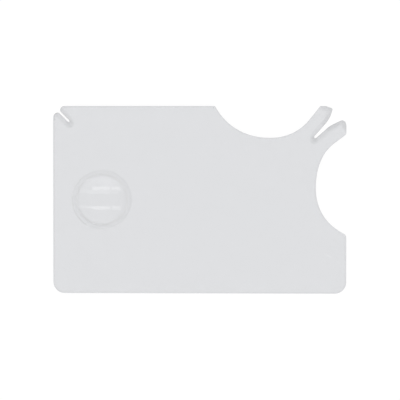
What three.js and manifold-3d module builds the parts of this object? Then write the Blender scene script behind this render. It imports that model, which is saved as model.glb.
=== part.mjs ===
// A pocket card for lifting ticks off the skin, moulded in clear plastic, with a small magnifier.
// The card lies flat in the XY plane with its underside at z = 0, its length along X and its width
// along Y. The origin is under the middle of the card.

import * as THREE from 'three';
import { mergeVertices, toCreasedNormals } from 'three/addons/utils/BufferGeometryUtils.js';
import Module from 'manifold-3d';

const wasm = await Module();
wasm.setup();

// The card: lengths in millimetres here and below, angles in degrees
const cardLength = 84.5;
const cardWidth = 54;
const cardThickness = 2;
const cardCornerRadius = 3.3;
const edgeRadius = 0.35;

// The two finger bows. Each starts on its edge at a distance from the fork's corner of the card,
// and its flank is one side of a prong.
const topBowStart = 7.5;
const topBowMouth = 30.3;
const topBowDepth = 9.15;
const topBowBelly = 15.9;
const topBowEntryAngle = 60.8;
const topBowCornerRadius = 0.12;
const topFlankAngle = 51.2;
const topFlankLength = 5;
const sideBowStart = 8.15;
const sideBowMouth = 28.95;
const sideBowDepth = 8.75;
const sideBowBelly = 13.5;
const sideBowEntryAngle = 62.3;
const sideBowCornerRadius = 1.1;
const sideFlankAngle = 53;
const sideFlankLength = 4.4;

// The two prongs between the bows
const topHeelRadius = 0.12;
const topTipRadius = 0.5;
const topTipAngle = 19;
const topProngShoulder = 5.95;
const topFlareWidth = 3.28;
const topFlareAngle = 27.6;
const sideHeelRadius = 1.1;
const sideTipRadius = 1.05;
const sideTipAngle = 18;
const sideProngShoulder = 5.47;
const sideFlareWidth = 3.44;
const sideFlareAngle = 20.3;
const prongShoulderRadius = 1.5;

// The slot that parts the prongs on the card's corner bisector
const forkSlotDepth = 13;
const forkSlotEndWidth = 0.66;
const forkTaperLength = 5;
const forkWaistWidth = 1.28;
const forkFlareSetback = 4.45;

// The fine slot in the opposite top corner, also on its corner's bisector
const fineSlotDepth = 6.47;
const fineSlotWidth = 0.62;
const fineNoseInset = 1.94;
const fineNoseRadius = 1.43;
const fineLipRadius = 0.55;

// The ramps on the upper face that lead down to both slots, with their share at the card's edge
const rampWidth = 1.2;
const rampLand = 0.15;
const rampRunOut = 1.2;
const rampOuterShare = 0.6;

// The magnifier and its stepped seat
const lensInset = 14;
const lensRadius = 7.25;
const lensFlangeRadius = 8.5;
const lensSag = 0.8;
const lensApexSink = 0.05;
const lensBackSink = 0.05;
const lensFlangeSink = 0.8;
const seatDepth = 1.3;
const seatClearance = 0.05;
const seamChamfer = 0.12;

// How a bend's handles and two roundings share their lines, and the least rounding of an inset
const handleShare = 0.65;
const roundedShare = 0.96;
const leastCornerRadius = 0.08;
const cutOverrun = 1;

// How finely the curves are cut into facets
const bowSteps = 14;
const flareSteps = 8;
const cornerStep = 15;
const edgeSteps = 3;
const domeSteps = 8;
const roundSteps = 64;
const creaseAngle = 25;

const radians = THREE.MathUtils.degToRad;
const point = (x, y) => new THREE.Vector2(x, y);
const heading = (angle) => point(Math.cos(radians(angle)), Math.sin(radians(angle)));
const leftOf = (direction) => point(-direction.y, direction.x);

// Where the line through p along d meets the line through q along e
function meet(p, d, q, e) {
  const gap = q.clone().sub(p);
  return p.clone().addScaledVector(d, gap.cross(e) / d.cross(e));
}

// A smooth bend between two points whose end tangents cross at a third
function bend(start, crossing, end, steps) {
  const startHandle = start.clone().lerp(crossing, handleShare);
  const endHandle = end.clone().lerp(crossing, handleShare);
  return new THREE.CubicBezierCurve(start, startHandle, endHandle, end).getPoints(steps);
}

// A corner of the outline: its place, its rounding, and the share of the ramp cut there
const corner = (place, radius = 0, ramp = 0) => ({ place, radius, ramp });

// Beside a corner of the card, x runs along one edge and y in from it, both from that corner.
// A slant heads back to the corner and dips in from the edge by an angle.
const towardsCorner = point(-1, 0);
const inwards = point(0, 1);
const slant = (angle) => point(-Math.cos(radians(angle)), Math.sin(radians(angle)));

// Along the corner's bisector a place is given by its distances from the corner and the line
const bisectorAngle = 45;
const onBisector = (along, across) =>
  point(along + across, along - across).multiplyScalar(Math.SQRT1_2);

// One finger bow, from its far corner to where it runs straight into a prong
function bowCurve(bow) {
  const far = point(bow.start + bow.mouth, 0);
  const near = point(bow.start, 0);
  const belly = point(far.x - bow.belly, bow.depth);
  const entry = meet(far, slant(bow.entryAngle), belly, towardsCorner);
  const exit = meet(near, heading(bow.flankAngle), belly, towardsCorner);
  const leadIn = far.clone().addScaledVector(slant(bow.entryAngle), bow.cornerRadius);
  const flankEnd = near.clone().addScaledVector(heading(bow.flankAngle), bow.flankLength);
  const falling = bend(leadIn, entry, belly, bowSteps);
  const rising = bend(belly, exit, flankEnd, bowSteps).slice(1);
  return [corner(far, bow.cornerRadius), ...[...falling, ...rising].map((p) => corner(p))];
}

// One side of the fork's slot, from the prong's heel round its tip to the slot's end
function prongCurve(bow) {
  const heel = point(bow.start, 0);
  const runOut = point(bow.shoulder + rampRunOut, 0);
  const shoulder = point(bow.shoulder, 0);
  const flareEnd = onBisector(forkFlareSetback, bow.flareWidth / 2);
  const waist = onBisector(forkSlotDepth - forkTaperLength, forkWaistWidth / 2);
  const end = onBisector(forkSlotDepth, forkSlotEndWidth / 2);
  const flareHeading = heading(bisectorAngle + bow.flareAngle);
  const tip = meet(shoulder, slant(bow.tipAngle), flareEnd, flareHeading);
  const crossing = meet(flareEnd, flareHeading, waist, end.clone().sub(waist));
  const flare = bend(flareEnd, crossing, waist, flareSteps);
  return [
    corner(heel, bow.heelRadius),
    corner(runOut),
    corner(shoulder, prongShoulderRadius, rampOuterShare),
    corner(tip, bow.tipRadius, 1),
    ...flare.map((p) => corner(p, 0, 1)),
    corner(end, forkSlotEndWidth / 2, 1),
  ];
}

// One side of the fine slot, from the card's edge round the nose to the slot's end
function fineSlotCurve() {
  const runOut = point(fineNoseInset + fineNoseRadius + rampRunOut, 0);
  const nose = point(fineNoseInset, 0);
  const end = onBisector(fineSlotDepth, fineSlotWidth / 2);
  const lip = meet(nose, inwards, end, heading(bisectorAngle));
  return [
    corner(runOut),
    corner(nose, fineNoseRadius, rampOuterShare),
    corner(lip, fineLipRadius, 1),
    corner(end, fineSlotWidth / 2, 1),
  ];
}

// Lays a run of corners beside a corner of the card. The runs on a corner's two edges mirror
// each other, so one of them swaps its two distances.
function layBeside(run, right, swapped) {
  const side = right ? 1 : -1;
  return run.map(({ place, radius, ramp }) => {
    const [x, y] = swapped ? [place.y, place.x] : [place.x, place.y];
    return corner(point(side * (cardLength / 2 - x), cardWidth / 2 - y), radius, ramp);
  });
}

// The card's whole outline, anticlockwise seen from above
function cardOutline() {
  const sideBow = {
    start: sideBowStart,
    mouth: sideBowMouth,
    depth: sideBowDepth,
    belly: sideBowBelly,
    entryAngle: sideBowEntryAngle,
    cornerRadius: sideBowCornerRadius,
    flankAngle: sideFlankAngle,
    flankLength: sideFlankLength,
    heelRadius: sideHeelRadius,
    tipRadius: sideTipRadius,
    tipAngle: sideTipAngle,
    shoulder: sideProngShoulder,
    flareWidth: sideFlareWidth,
    flareAngle: sideFlareAngle,
  };
  const topBow = {
    start: topBowStart,
    mouth: topBowMouth,
    depth: topBowDepth,
    belly: topBowBelly,
    entryAngle: topBowEntryAngle,
    cornerRadius: topBowCornerRadius,
    flankAngle: topFlankAngle,
    flankLength: topFlankLength,
    heelRadius: topHeelRadius,
    tipRadius: topTipRadius,
    tipAngle: topTipAngle,
    shoulder: topProngShoulder,
    flareWidth: topFlareWidth,
    flareAngle: topFlareAngle,
  };
  return [
    corner(point(-cardLength / 2, -cardWidth / 2), cardCornerRadius),
    corner(point(cardLength / 2, -cardWidth / 2), cardCornerRadius),
    ...layBeside([...bowCurve(sideBow), ...prongCurve(sideBow)], true, true),
    ...layBeside([...bowCurve(topBow), ...prongCurve(topBow)], true, false).reverse(),
    ...layBeside(fineSlotCurve(), false, false),
    ...layBeside(fineSlotCurve(), false, true).reverse(),
  ];
}

// A point of the outline moved in by an inset, so that both of its edges move in equally
function insetPoint(before, here, after, inset) {
  const first = leftOf(here.clone().sub(before).normalize());
  const second = leftOf(after.clone().sub(here).normalize());
  const mitre = first.clone().add(second).divideScalar(1 + first.dot(second));
  return here.clone().addScaledVector(mitre, inset);
}

// How sharply a line turns at its middle point: positive to the left
function turnBetween(before, here, after) {
  const arriving = here.clone().sub(before);
  const leaving = after.clone().sub(here);
  return Math.atan2(arriving.cross(leaving), arriving.dot(leaving));
}

// The points of a closed line and their neighbours on both sides
const withNeighbours = (points) =>
  points.map((here, i) => [points.at(i - 1), here, points[(i + 1) % points.length]]);

// How far each corner's rounding reaches along its edges. Where two of them would meet on the
// edge between them, both give way alike.
function roundingReaches(points, radii) {
  const wanted = withNeighbours(points).map(([before, here, after], i) =>
    radii[i] * Math.tan(Math.abs(turnBetween(before, here, after)) / 2));
  const fits = wanted.map((reach, i) => {
    const next = (i + 1) % points.length;
    const room = points[i].distanceTo(points[next]) * roundedShare;
    return Math.min(1, room / Math.max(reach + wanted[next], Number.EPSILON));
  });
  return wanted.map((reach, i) => reach * Math.min(fits[i], fits.at(i - 1)));
}

// The arc that rounds one corner, starting and ending at its reach from the corner
function roundedCorner([before, here, after], reach, steps) {
  const turn = turnBetween(before, here, after);
  const arriving = here.clone().sub(before).normalize();
  const radius = reach / Math.tan(turn / 2);
  const start = here.clone().addScaledVector(arriving, -reach);
  const centre = start.clone().addScaledVector(leftOf(arriving), radius);
  return Array.from({ length: steps + 1 }, (_, i) =>
    start.clone().rotateAround(centre, turn * i / steps));
}

// One closed line round the card. The section gives its inset and height for a share of ramp.
function ringPoints(outline, section) {
  const levels = outline.map(({ ramp }) => section(ramp));
  const places = withNeighbours(outline.map(({ place }) => place));
  const turns = places.map((trio) => turnBetween(...trio));
  const moved = places.map((trio, i) => insetPoint(...trio, levels[i].inset));
  const radii = outline.map(({ radius }, i) => radius === 0
    ? 0
    : Math.max(radius - Math.sign(turns[i]) * levels[i].inset, leastCornerRadius));
  const reaches = roundingReaches(moved, radii);
  return withNeighbours(moved).flatMap((trio, i) => {
    const steps = Math.max(2, Math.ceil(Math.abs(turns[i]) / radians(cornerStep)));
    const arc = radii[i] === 0 ? [trio[1]] : roundedCorner(trio, reaches[i], steps);
    return arc.map(({ x, y }) => [x, y, levels[i].height]);
  });
}

// The section of the card's rim, from the underside up: a rounded edge, a straight wall, and
// then either a rounded edge or, beside the slots, a long ramp up to the upper face
function rimSections() {
  const turns = Array.from({ length: edgeSteps + 1 }, (_, i) => Math.PI / 2 * i / edgeSteps);
  const land = edgeRadius + rampLand;
  const lower = turns.map((a) => () => ({
    inset: edgeRadius * (1 - Math.sin(a)),
    height: edgeRadius * (1 - Math.cos(a)),
  }));
  const upper = turns.map((a, i) => (ramp) => ({
    inset: THREE.MathUtils.lerp(edgeRadius * (1 - Math.cos(a)), rampWidth * i / edgeSteps, ramp),
    height: THREE.MathUtils.lerp(
      cardThickness - edgeRadius * (1 - Math.sin(a)),
      THREE.MathUtils.lerp(land, cardThickness, i / edgeSteps),
      ramp),
  }));
  return [...lower, ...upper];
}

// A closed skin through rings of equal length, capped flat at the bottom and the top
function skinThrough(rings) {
  const count = rings[0].length;
  const faces = [];
  for (let level = 0; level < rings.length - 1; level += 1) {
    for (let i = 0; i < count; i += 1) {
      const a = level * count + i;
      const b = level * count + (i + 1) % count;
      faces.push(a, b, b + count, a, b + count, a + count);
    }
  }
  const capFaces = (ring) =>
    THREE.ShapeUtils.triangulateShape(ring.map(([x, y]) => point(x, y)), []);
  const topStart = (rings.length - 1) * count;
  capFaces(rings[0]).forEach(([a, b, c]) => faces.push(a, c, b));
  capFaces(rings.at(-1)).forEach((face) => faces.push(...face.map((i) => i + topStart)));
  const geometry = new THREE.BufferGeometry();
  geometry.setAttribute('position', new THREE.Float32BufferAttribute(rings.flat(2), 3));
  geometry.setIndex(faces);
  return geometry;
}

// A geometry turned into a solid that can be cut, without the empty faces at a lathe's axis
function toSolid(geometry) {
  const bare = geometry.clone();
  bare.deleteAttribute('normal');
  bare.deleteAttribute('uv');
  const merged = mergeVertices(bare);
  const corners = Array.from(merged.index.array);
  const faces = [];
  for (let i = 0; i < corners.length; i += 3) {
    const face = corners.slice(i, i + 3);
    if (new Set(face).size === face.length) faces.push(...face);
  }
  return new wasm.Manifold(new wasm.Mesh({
    numProp: 3,
    vertProperties: new Float32Array(merged.attributes.position.array),
    triVerts: new Uint32Array(faces),
  }));
}

// A cut solid turned back into a geometry
function toGeometry(solid) {
  const { vertProperties, triVerts } = solid.getMesh();
  const geometry = new THREE.BufferGeometry();
  geometry.setAttribute('position', new THREE.BufferAttribute(vertProperties, 3));
  geometry.setIndex(new THREE.BufferAttribute(triVerts, 1));
  return geometry;
}

// The magnifier stands on the card's long centre line
const lensCentre = point(lensInset - cardLength / 2, 0);

// What the seat takes out of the card: a through hole with a wider step for the lens's flange
function seatCutter() {
  const hole = lensRadius + seatClearance;
  const step = lensFlangeRadius + seatClearance;
  const ledge = cardThickness - seatDepth;
  const profile = [
    point(0, -cutOverrun),
    point(hole + seamChamfer + cutOverrun, -cutOverrun),
    point(hole, seamChamfer),
    point(hole, ledge),
    point(step, ledge),
    point(step, cardThickness - seamChamfer),
    point(step + seamChamfer + cutOverrun, cardThickness + cutOverrun),
    point(0, cardThickness + cutOverrun),
  ];
  return new THREE.LatheGeometry(profile, roundSteps)
    .rotateX(Math.PI / 2)
    .translate(lensCentre.x, lensCentre.y, 0);
}

// The card's body, with both bows, both slots and the lens's seat
function makeCardBody() {
  const outline = cardOutline();
  const rings = rimSections().map((section) => ringPoints(outline, section));
  const body = toSolid(skinThrough(rings)).subtract(toSolid(seatCutter()));
  const material = new THREE.MeshStandardMaterial({
    color: 0xdfe0e2,
    roughness: 0.12,
    metalness: 0,
    transparent: true,
    opacity: 0.6,
  });
  const mesh = new THREE.Mesh(toCreasedNormals(toGeometry(body), radians(creaseAngle)), material);
  mesh.name = 'card_body';
  return mesh;
}

// How far the dome has fallen away from its apex at a distance from the lens's axis
function domeFall(distance) {
  const sphere = (lensRadius ** 2 + lensSag ** 2) / (2 * lensSag);
  return sphere - Math.sqrt(sphere ** 2 - distance ** 2);
}

// The magnifier: a dome over a flat back, with a flange round the dome's foot
function makeMagnifierLens() {
  const distances = Array.from({ length: domeSteps + 1 }, (_, i) =>
    lensRadius * (1 - i / domeSteps));
  const ledge = cardThickness - seatDepth;
  const flangeTop = cardThickness - lensFlangeSink;
  const profile = [
    point(0, lensBackSink),
    point(lensRadius - seamChamfer, lensBackSink),
    point(lensRadius, lensBackSink + seamChamfer),
    point(lensRadius, ledge),
    point(lensFlangeRadius - seamChamfer, ledge),
    point(lensFlangeRadius, ledge + seamChamfer),
    point(lensFlangeRadius, flangeTop - seamChamfer),
    point(lensFlangeRadius - seamChamfer, flangeTop),
    ...distances.map((d) => point(d, cardThickness - lensApexSink - domeFall(d))),
  ];
  const material = new THREE.MeshStandardMaterial({
    color: 0xe2e3e5,
    roughness: 0.05,
    metalness: 0,
    transparent: true,
    opacity: 0.5,
  });
  const geometry = new THREE.LatheGeometry(profile, roundSteps).rotateX(Math.PI / 2);
  const mesh = new THREE.Mesh(geometry, material);
  mesh.name = 'magnifier_lens';
  mesh.position.set(lensCentre.x, lensCentre.y, 0);
  return mesh;
}

const tickCard = new THREE.Group();
tickCard.add(makeCardBody(), makeMagnifierLens());

export default tickCard;
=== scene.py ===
"""A clear pocket card for lifting ticks off the skin, seen from straight above.

The card is one moulded plate with two finger bows, a forked slot between them, a fine slot in the
opposite corner, and a stepped seat that holds a small domed magnifier. It lies on a white floor
under a plain soft sky, with strip lamps that the dome mirrors as two bright bars.
"""

import logging
import math
from collections.abc import Mapping, Sequence
from dataclasses import dataclass, field
from enum import Enum
from functools import reduce

import bpy
import numpy as np
from mathutils import Matrix, Vector
from mathutils.geometry import tessellate_polygon
from numpy.typing import ArrayLike


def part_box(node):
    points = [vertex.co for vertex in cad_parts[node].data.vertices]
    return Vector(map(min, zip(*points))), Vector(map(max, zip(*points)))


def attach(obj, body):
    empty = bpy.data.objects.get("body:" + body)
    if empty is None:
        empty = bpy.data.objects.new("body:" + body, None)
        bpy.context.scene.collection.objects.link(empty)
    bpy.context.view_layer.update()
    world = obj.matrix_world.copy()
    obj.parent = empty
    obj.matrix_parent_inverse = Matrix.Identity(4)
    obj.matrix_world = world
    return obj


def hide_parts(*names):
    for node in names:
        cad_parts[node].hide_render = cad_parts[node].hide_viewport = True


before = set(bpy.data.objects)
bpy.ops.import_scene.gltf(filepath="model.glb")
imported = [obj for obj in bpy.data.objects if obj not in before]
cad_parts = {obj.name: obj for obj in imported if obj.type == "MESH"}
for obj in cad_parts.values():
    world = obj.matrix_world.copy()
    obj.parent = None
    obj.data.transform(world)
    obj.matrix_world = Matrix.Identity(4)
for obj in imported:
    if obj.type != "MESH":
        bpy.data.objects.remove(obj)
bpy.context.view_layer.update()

log = logging.getLogger("tick_card")

MILLIMETRE = 0.001  # in metres
BISECTOR = 45.0  # the slots' direction from the card's edge, in degrees
HANDLE_SHARE = 0.65  # how far a bend's handles reach towards the crossing of its end tangents
TINY = 1e-9  # keeps a divisor away from zero

Socket = bpy.types.NodeSocket
Inputs = Mapping[str | int, object]


class Node(str, Enum):
    """The two solids of the card."""

    CARD = "card_body"
    LENS = "magnifier_lens"


class Slot(str, Enum):
    """The record's names for the card's two finishes."""

    CARD = "card_plastic"
    LENS = "lens_plastic"


class Zone(str, Enum):
    """The shares that the pieces' points carry for their finish. The edge's share places painted
    shade on the rounded edges.
    """

    EDGE = "edge_share"
    RAMP = "ramp_share"
    SEAT = "seat_share"


# Plane geometry, in millimetres and degrees


def unit(vectors: np.ndarray) -> np.ndarray:
    """Scales vectors to a length of one along their last axis."""
    return vectors / np.linalg.norm(vectors, axis=-1, keepdims=True)


def left_of(vectors: np.ndarray) -> np.ndarray:
    """Turns plane vectors a quarter turn to the left: x, y becomes -y, x."""
    return np.stack([-vectors[..., 1], vectors[..., 0]], axis=-1)


def crossed(first: np.ndarray, second: np.ndarray) -> np.ndarray:
    """The height of the cross product of plane vectors: x1 y2 - y1 x2."""
    return first[..., 0] * second[..., 1] - first[..., 1] * second[..., 0]


def heading(angle: float) -> np.ndarray:
    """The unit vector at an angle from the x axis: cosine, sine."""
    return np.array([math.cos(math.radians(angle)), math.sin(math.radians(angle))])


def slant(angle: float) -> np.ndarray:
    """A heading that goes back towards x = 0 while it rises: -cosine, sine."""
    return heading(180.0 - angle)


def meet(p: np.ndarray, d: np.ndarray, q: np.ndarray, e: np.ndarray) -> np.ndarray:
    """Where the line through p along d crosses the line through q along e."""
    return p + d * crossed(q - p, e) / crossed(d, e)


def bend(start: np.ndarray, crossing: np.ndarray, end: np.ndarray, steps: int) -> np.ndarray:
    """A smooth bend between two points whose end tangents cross at a third.

    It is a cubic curve, (1-t)^3 start + 3(1-t)^2 t a + 3(1-t) t^2 b + t^3 end, with its handles
    a and b at HANDLE_SHARE of the way from either end to the crossing.

    Args:
        start: where the bend starts.
        crossing: where the two end tangents cross.
        end: where it ends.
        steps: how many steps it is cut into.

    Returns:
        The points along the bend, both ends among them, one row each.
    """
    a, b = (tip + (crossing - tip) * HANDLE_SHARE for tip in (start, end))
    t = np.linspace(0.0, 1.0, steps + 1)[:, None]
    s = 1.0 - t
    return s**3 * start + 3 * s**2 * t * a + 3 * s * t**2 * b + t**3 * end


def on_bisector(along: np.ndarray | float, across: np.ndarray | float) -> np.ndarray:
    """A place by its distances along a square corner's bisector and across it."""
    return np.array([along + across, along - across]) / math.sqrt(2.0)


@dataclass(frozen=True)
class Run:
    """A run of corners of the card's outline.

    Attributes:
        places: the corners, one row each.
        radii: how round each corner is.
        ramps: the share of the ramp that is cut at each corner.
    """

    places: np.ndarray
    radii: np.ndarray
    ramps: np.ndarray

    @classmethod
    def of(cls, places: ArrayLike, radius: float = 0.0, ramp: float = 0.0) -> "Run":
        """A run whose corners all have one rounding and one share of ramp."""
        rows = np.atleast_2d(places)
        return cls(rows, np.full(len(rows), radius), np.full(len(rows), ramp))

    def __add__(self, other: "Run") -> "Run":
        """This run followed by another."""
        return Run(
            np.concatenate([self.places, other.places]),
            np.concatenate([self.radii, other.radii]),
            np.concatenate([self.ramps, other.ramps]),
        )

    def reversed(self) -> "Run":
        """The same run from its other end."""
        return Run(self.places[::-1], self.radii[::-1], self.ramps[::-1])

    def beside(self, corner: np.ndarray, swapped: bool) -> "Run":
        """Lays the run beside a corner of the card, with x and y swapped on the short edge."""
        places = self.places[:, ::-1] if swapped else self.places
        return Run(corner - np.sign(corner) * places, self.radii, self.ramps)


@dataclass(frozen=True)
class FingerBow:
    """A finger bow cut into one edge of the card, and the prong between it and the fork.

    Attributes:
        start: the distance from the fork's corner to the bow's near end, the prong's heel.
        mouth: the bow's width at the card's edge.
        depth: the bow's depth.
        belly: how far the bow's deepest point lies from its far end, along the edge.
        entry_angle: the angle between the edge and the bow at its far end.
        corner_radius: how round the corner at the far end is.
        lead_in: how much of the bow is straight at its far end.
        flank_angle: the angle between the edge and the prong's flank.
        flank_length: how long the flank is straight.
        heel_radius: how round the prong's heel is.
        tip_radius: how round the prong's tip is.
        tip_angle: how steeply the prong falls from its shoulder to its tip.
        shoulder: the distance from the fork's corner to the prong's shoulder.
        flare_width: twice the distance from the fork's bisector to the flare's narrow end.
        flare_angle: how far the flare on this side opens from the bisector.
        steps: how many steps each bend is cut into.
    """

    start: float
    mouth: float
    depth: float
    belly: float
    entry_angle: float
    corner_radius: float
    lead_in: float
    flank_angle: float
    flank_length: float
    heel_radius: float
    tip_radius: float
    tip_angle: float
    shoulder: float
    flare_width: float
    flare_angle: float
    steps: int = 56

    def curve(self) -> Run:
        """Two bends that meet at the bow's deepest point.

        Returns:
            The run from the bow's far end to the prong's flank.
        """
        towards_corner = np.array([-1.0, 0.0])
        far = np.array([self.start + self.mouth, 0.0])
        near = np.array([self.start, 0.0])
        belly = np.array([far[0] - self.belly, self.depth])
        entry = meet(far, slant(self.entry_angle), belly, towards_corner)
        leaving = meet(near, heading(self.flank_angle), belly, towards_corner)
        bend_start = far + slant(self.entry_angle) * self.lead_in
        flank_end = near + heading(self.flank_angle) * self.flank_length
        falling = bend(bend_start, entry, belly, self.steps)
        rising = bend(belly, leaving, flank_end, self.steps)[1:]
        return Run.of(far, self.corner_radius) + Run.of(falling) + Run.of(rising)


@dataclass(frozen=True)
class ForkSlot:
    """The slot between the two prongs, on the bisector of its corner.

    Attributes:
        depth: how far its end lies from the card's corner.
        end_width: its width at the end, which is fully round.
        taper_length: how long it narrows from its waist to its end.
        waist_width: its width at the waist, where the flare's bend ends.
        flare_setback: how far the flare's narrow end lies from the card's corner.
        shoulder_radius: how round the prongs' shoulders are.
        steps: how many steps the bend from flare to waist is cut into.
    """

    depth: float = 13.0
    end_width: float = 0.66
    taper_length: float = 5.0
    waist_width: float = 1.28
    flare_setback: float = 4.45
    shoulder_radius: float = 1.5
    steps: int = 28

    def corners(self, bow: FingerBow) -> tuple[np.ndarray, ...]:
        """The corners of one side of the slot.

        Args:
            bow: the bow with the sizes of the prong on that side.

        Returns:
            The prong's shoulder and tip, the flare's end, the waist and the slot's end.
        """
        shoulder = np.array([bow.shoulder, 0.0])
        flare_end = on_bisector(self.flare_setback, bow.flare_width / 2)
        flare_heading = heading(BISECTOR + bow.flare_angle)
        tip = meet(shoulder, slant(bow.tip_angle), flare_end, flare_heading)
        waist = on_bisector(self.depth - self.taper_length, self.waist_width / 2)
        return shoulder, tip, flare_end, waist, on_bisector(self.depth, self.end_width / 2)

    def side(self, bow: FingerBow, rim: "Rim") -> Run:
        """One side of the slot, from the prong's heel round its tip to the slot's end.

        Args:
            bow: the bow on the prong's other side, with the prong's own sizes.
            rim: the card's rim, for how its ramp dies away beside the prong.

        Returns:
            The run beside the fork's corner of the card.
        """
        shoulder, tip, flare_end, waist, end = self.corners(bow)
        crossing = meet(flare_end, flare_end - tip, waist, end - waist)
        return (
            Run.of([bow.start, 0.0], bow.heel_radius)
            + Run.of([bow.shoulder + rim.ramp_run_out, 0.0])
            + Run.of(shoulder, self.shoulder_radius, rim.outer_ramp_share)
            + Run.of(tip, bow.tip_radius, 1.0)
            + Run.of(bend(flare_end, crossing, waist, self.steps), ramp=1.0)
            + Run.of(end, self.end_width / 2, 1.0)
        )


@dataclass(frozen=True)
class FineSlot:
    """The narrow slot in the other top corner, on the bisector of its corner.

    Attributes:
        depth: how far its end lies from the card's corner.
        width: its width at the end, which is fully round.
        nose_inset: how far its mouth is from the card's corner along either edge.
        nose_radius: how round the noses beside its mouth are.
        lip_radius: how round the noses turn into the slot.
        shade_turns: the turns that the line of painted shade round a nose passes, in degrees.
        shade_lead: how far along the edge that line starts, as a share of the nose's radius.
    """

    depth: float = 6.47
    width: float = 0.62
    nose_inset: float = 1.94
    nose_radius: float = 1.43
    lip_radius: float = 0.55
    shade_turns: tuple[float, ...] = (270.0, 245.0, 220.0)
    shade_lead: float = 0.25

    def shade_line(self) -> np.ndarray:
        """A coarse line from the card's edge round most of a nose of radius r about c, along which
        shade is painted.

        Its points are c + r times cosine and sine of the turns, after one on the card's edge.

        Returns:
            The points, one row each.
        """
        radius, turns = self.nose_radius, np.radians(self.shade_turns)
        centre = np.array([self.nose_inset + radius, radius])
        arc = centre + radius * np.stack([np.cos(turns), np.sin(turns)], axis=-1)
        return np.concatenate([[centre + (self.shade_lead * radius, -radius)], arc])

    def side(self, rim: "Rim") -> Run:
        """One side of the slot, from the card's edge round the nose to the slot's end.

        Args:
            rim: the card's rim, for how its ramp dies away beside the nose.

        Returns:
            The run beside the slot's corner of the card.
        """
        inwards = np.array([0.0, 1.0])
        nose = np.array([self.nose_inset, 0.0])
        end = on_bisector(self.depth, self.width / 2)
        lip = meet(nose, inwards, end, heading(BISECTOR))
        return (
            Run.of([self.nose_inset + self.nose_radius + rim.ramp_run_out, 0.0])
            + Run.of(nose, self.nose_radius, rim.outer_ramp_share)
            + Run.of(lip, self.lip_radius, 1.0)
            + Run.of(end, self.width / 2, 1.0)
        )


@dataclass(frozen=True)
class Rings:
    """Closed lines that lie one above another and count alike.

    Attributes:
        points: the places, one layer for each line and one row for each point.
        shares: the finish's shares at each point, by zone. A zone left out is zero.
    """

    points: np.ndarray
    shares: Mapping[Zone, np.ndarray] = field(default_factory=dict)

    @classmethod
    def turned(cls, profile: np.ndarray, centre: np.ndarray, steps: int) -> "Rings":
        """Turns a profile about an upright axis.

        A point is the centre plus radius times cosine and sine of the turn, at the profile's
        height.

        Args:
            profile: the radius, height and share of touching of each level.
            centre: where the axis stands.
            steps: how many points each ring has.

        Returns:
            The rings, one for each level.
        """
        turn = np.arange(steps) * (2 * math.pi / steps)
        circle = np.stack([np.cos(turn), np.sin(turn)], axis=-1)
        flat = centre + profile[:, 0, None, None] * circle
        height = np.broadcast_to(profile[:, 1, None, None], flat.shape[:2] + (1,))
        return cls(
            np.concatenate([flat, height], axis=-1), {Zone.SEAT: profile[:, 2].repeat(steps)}
        )


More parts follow.
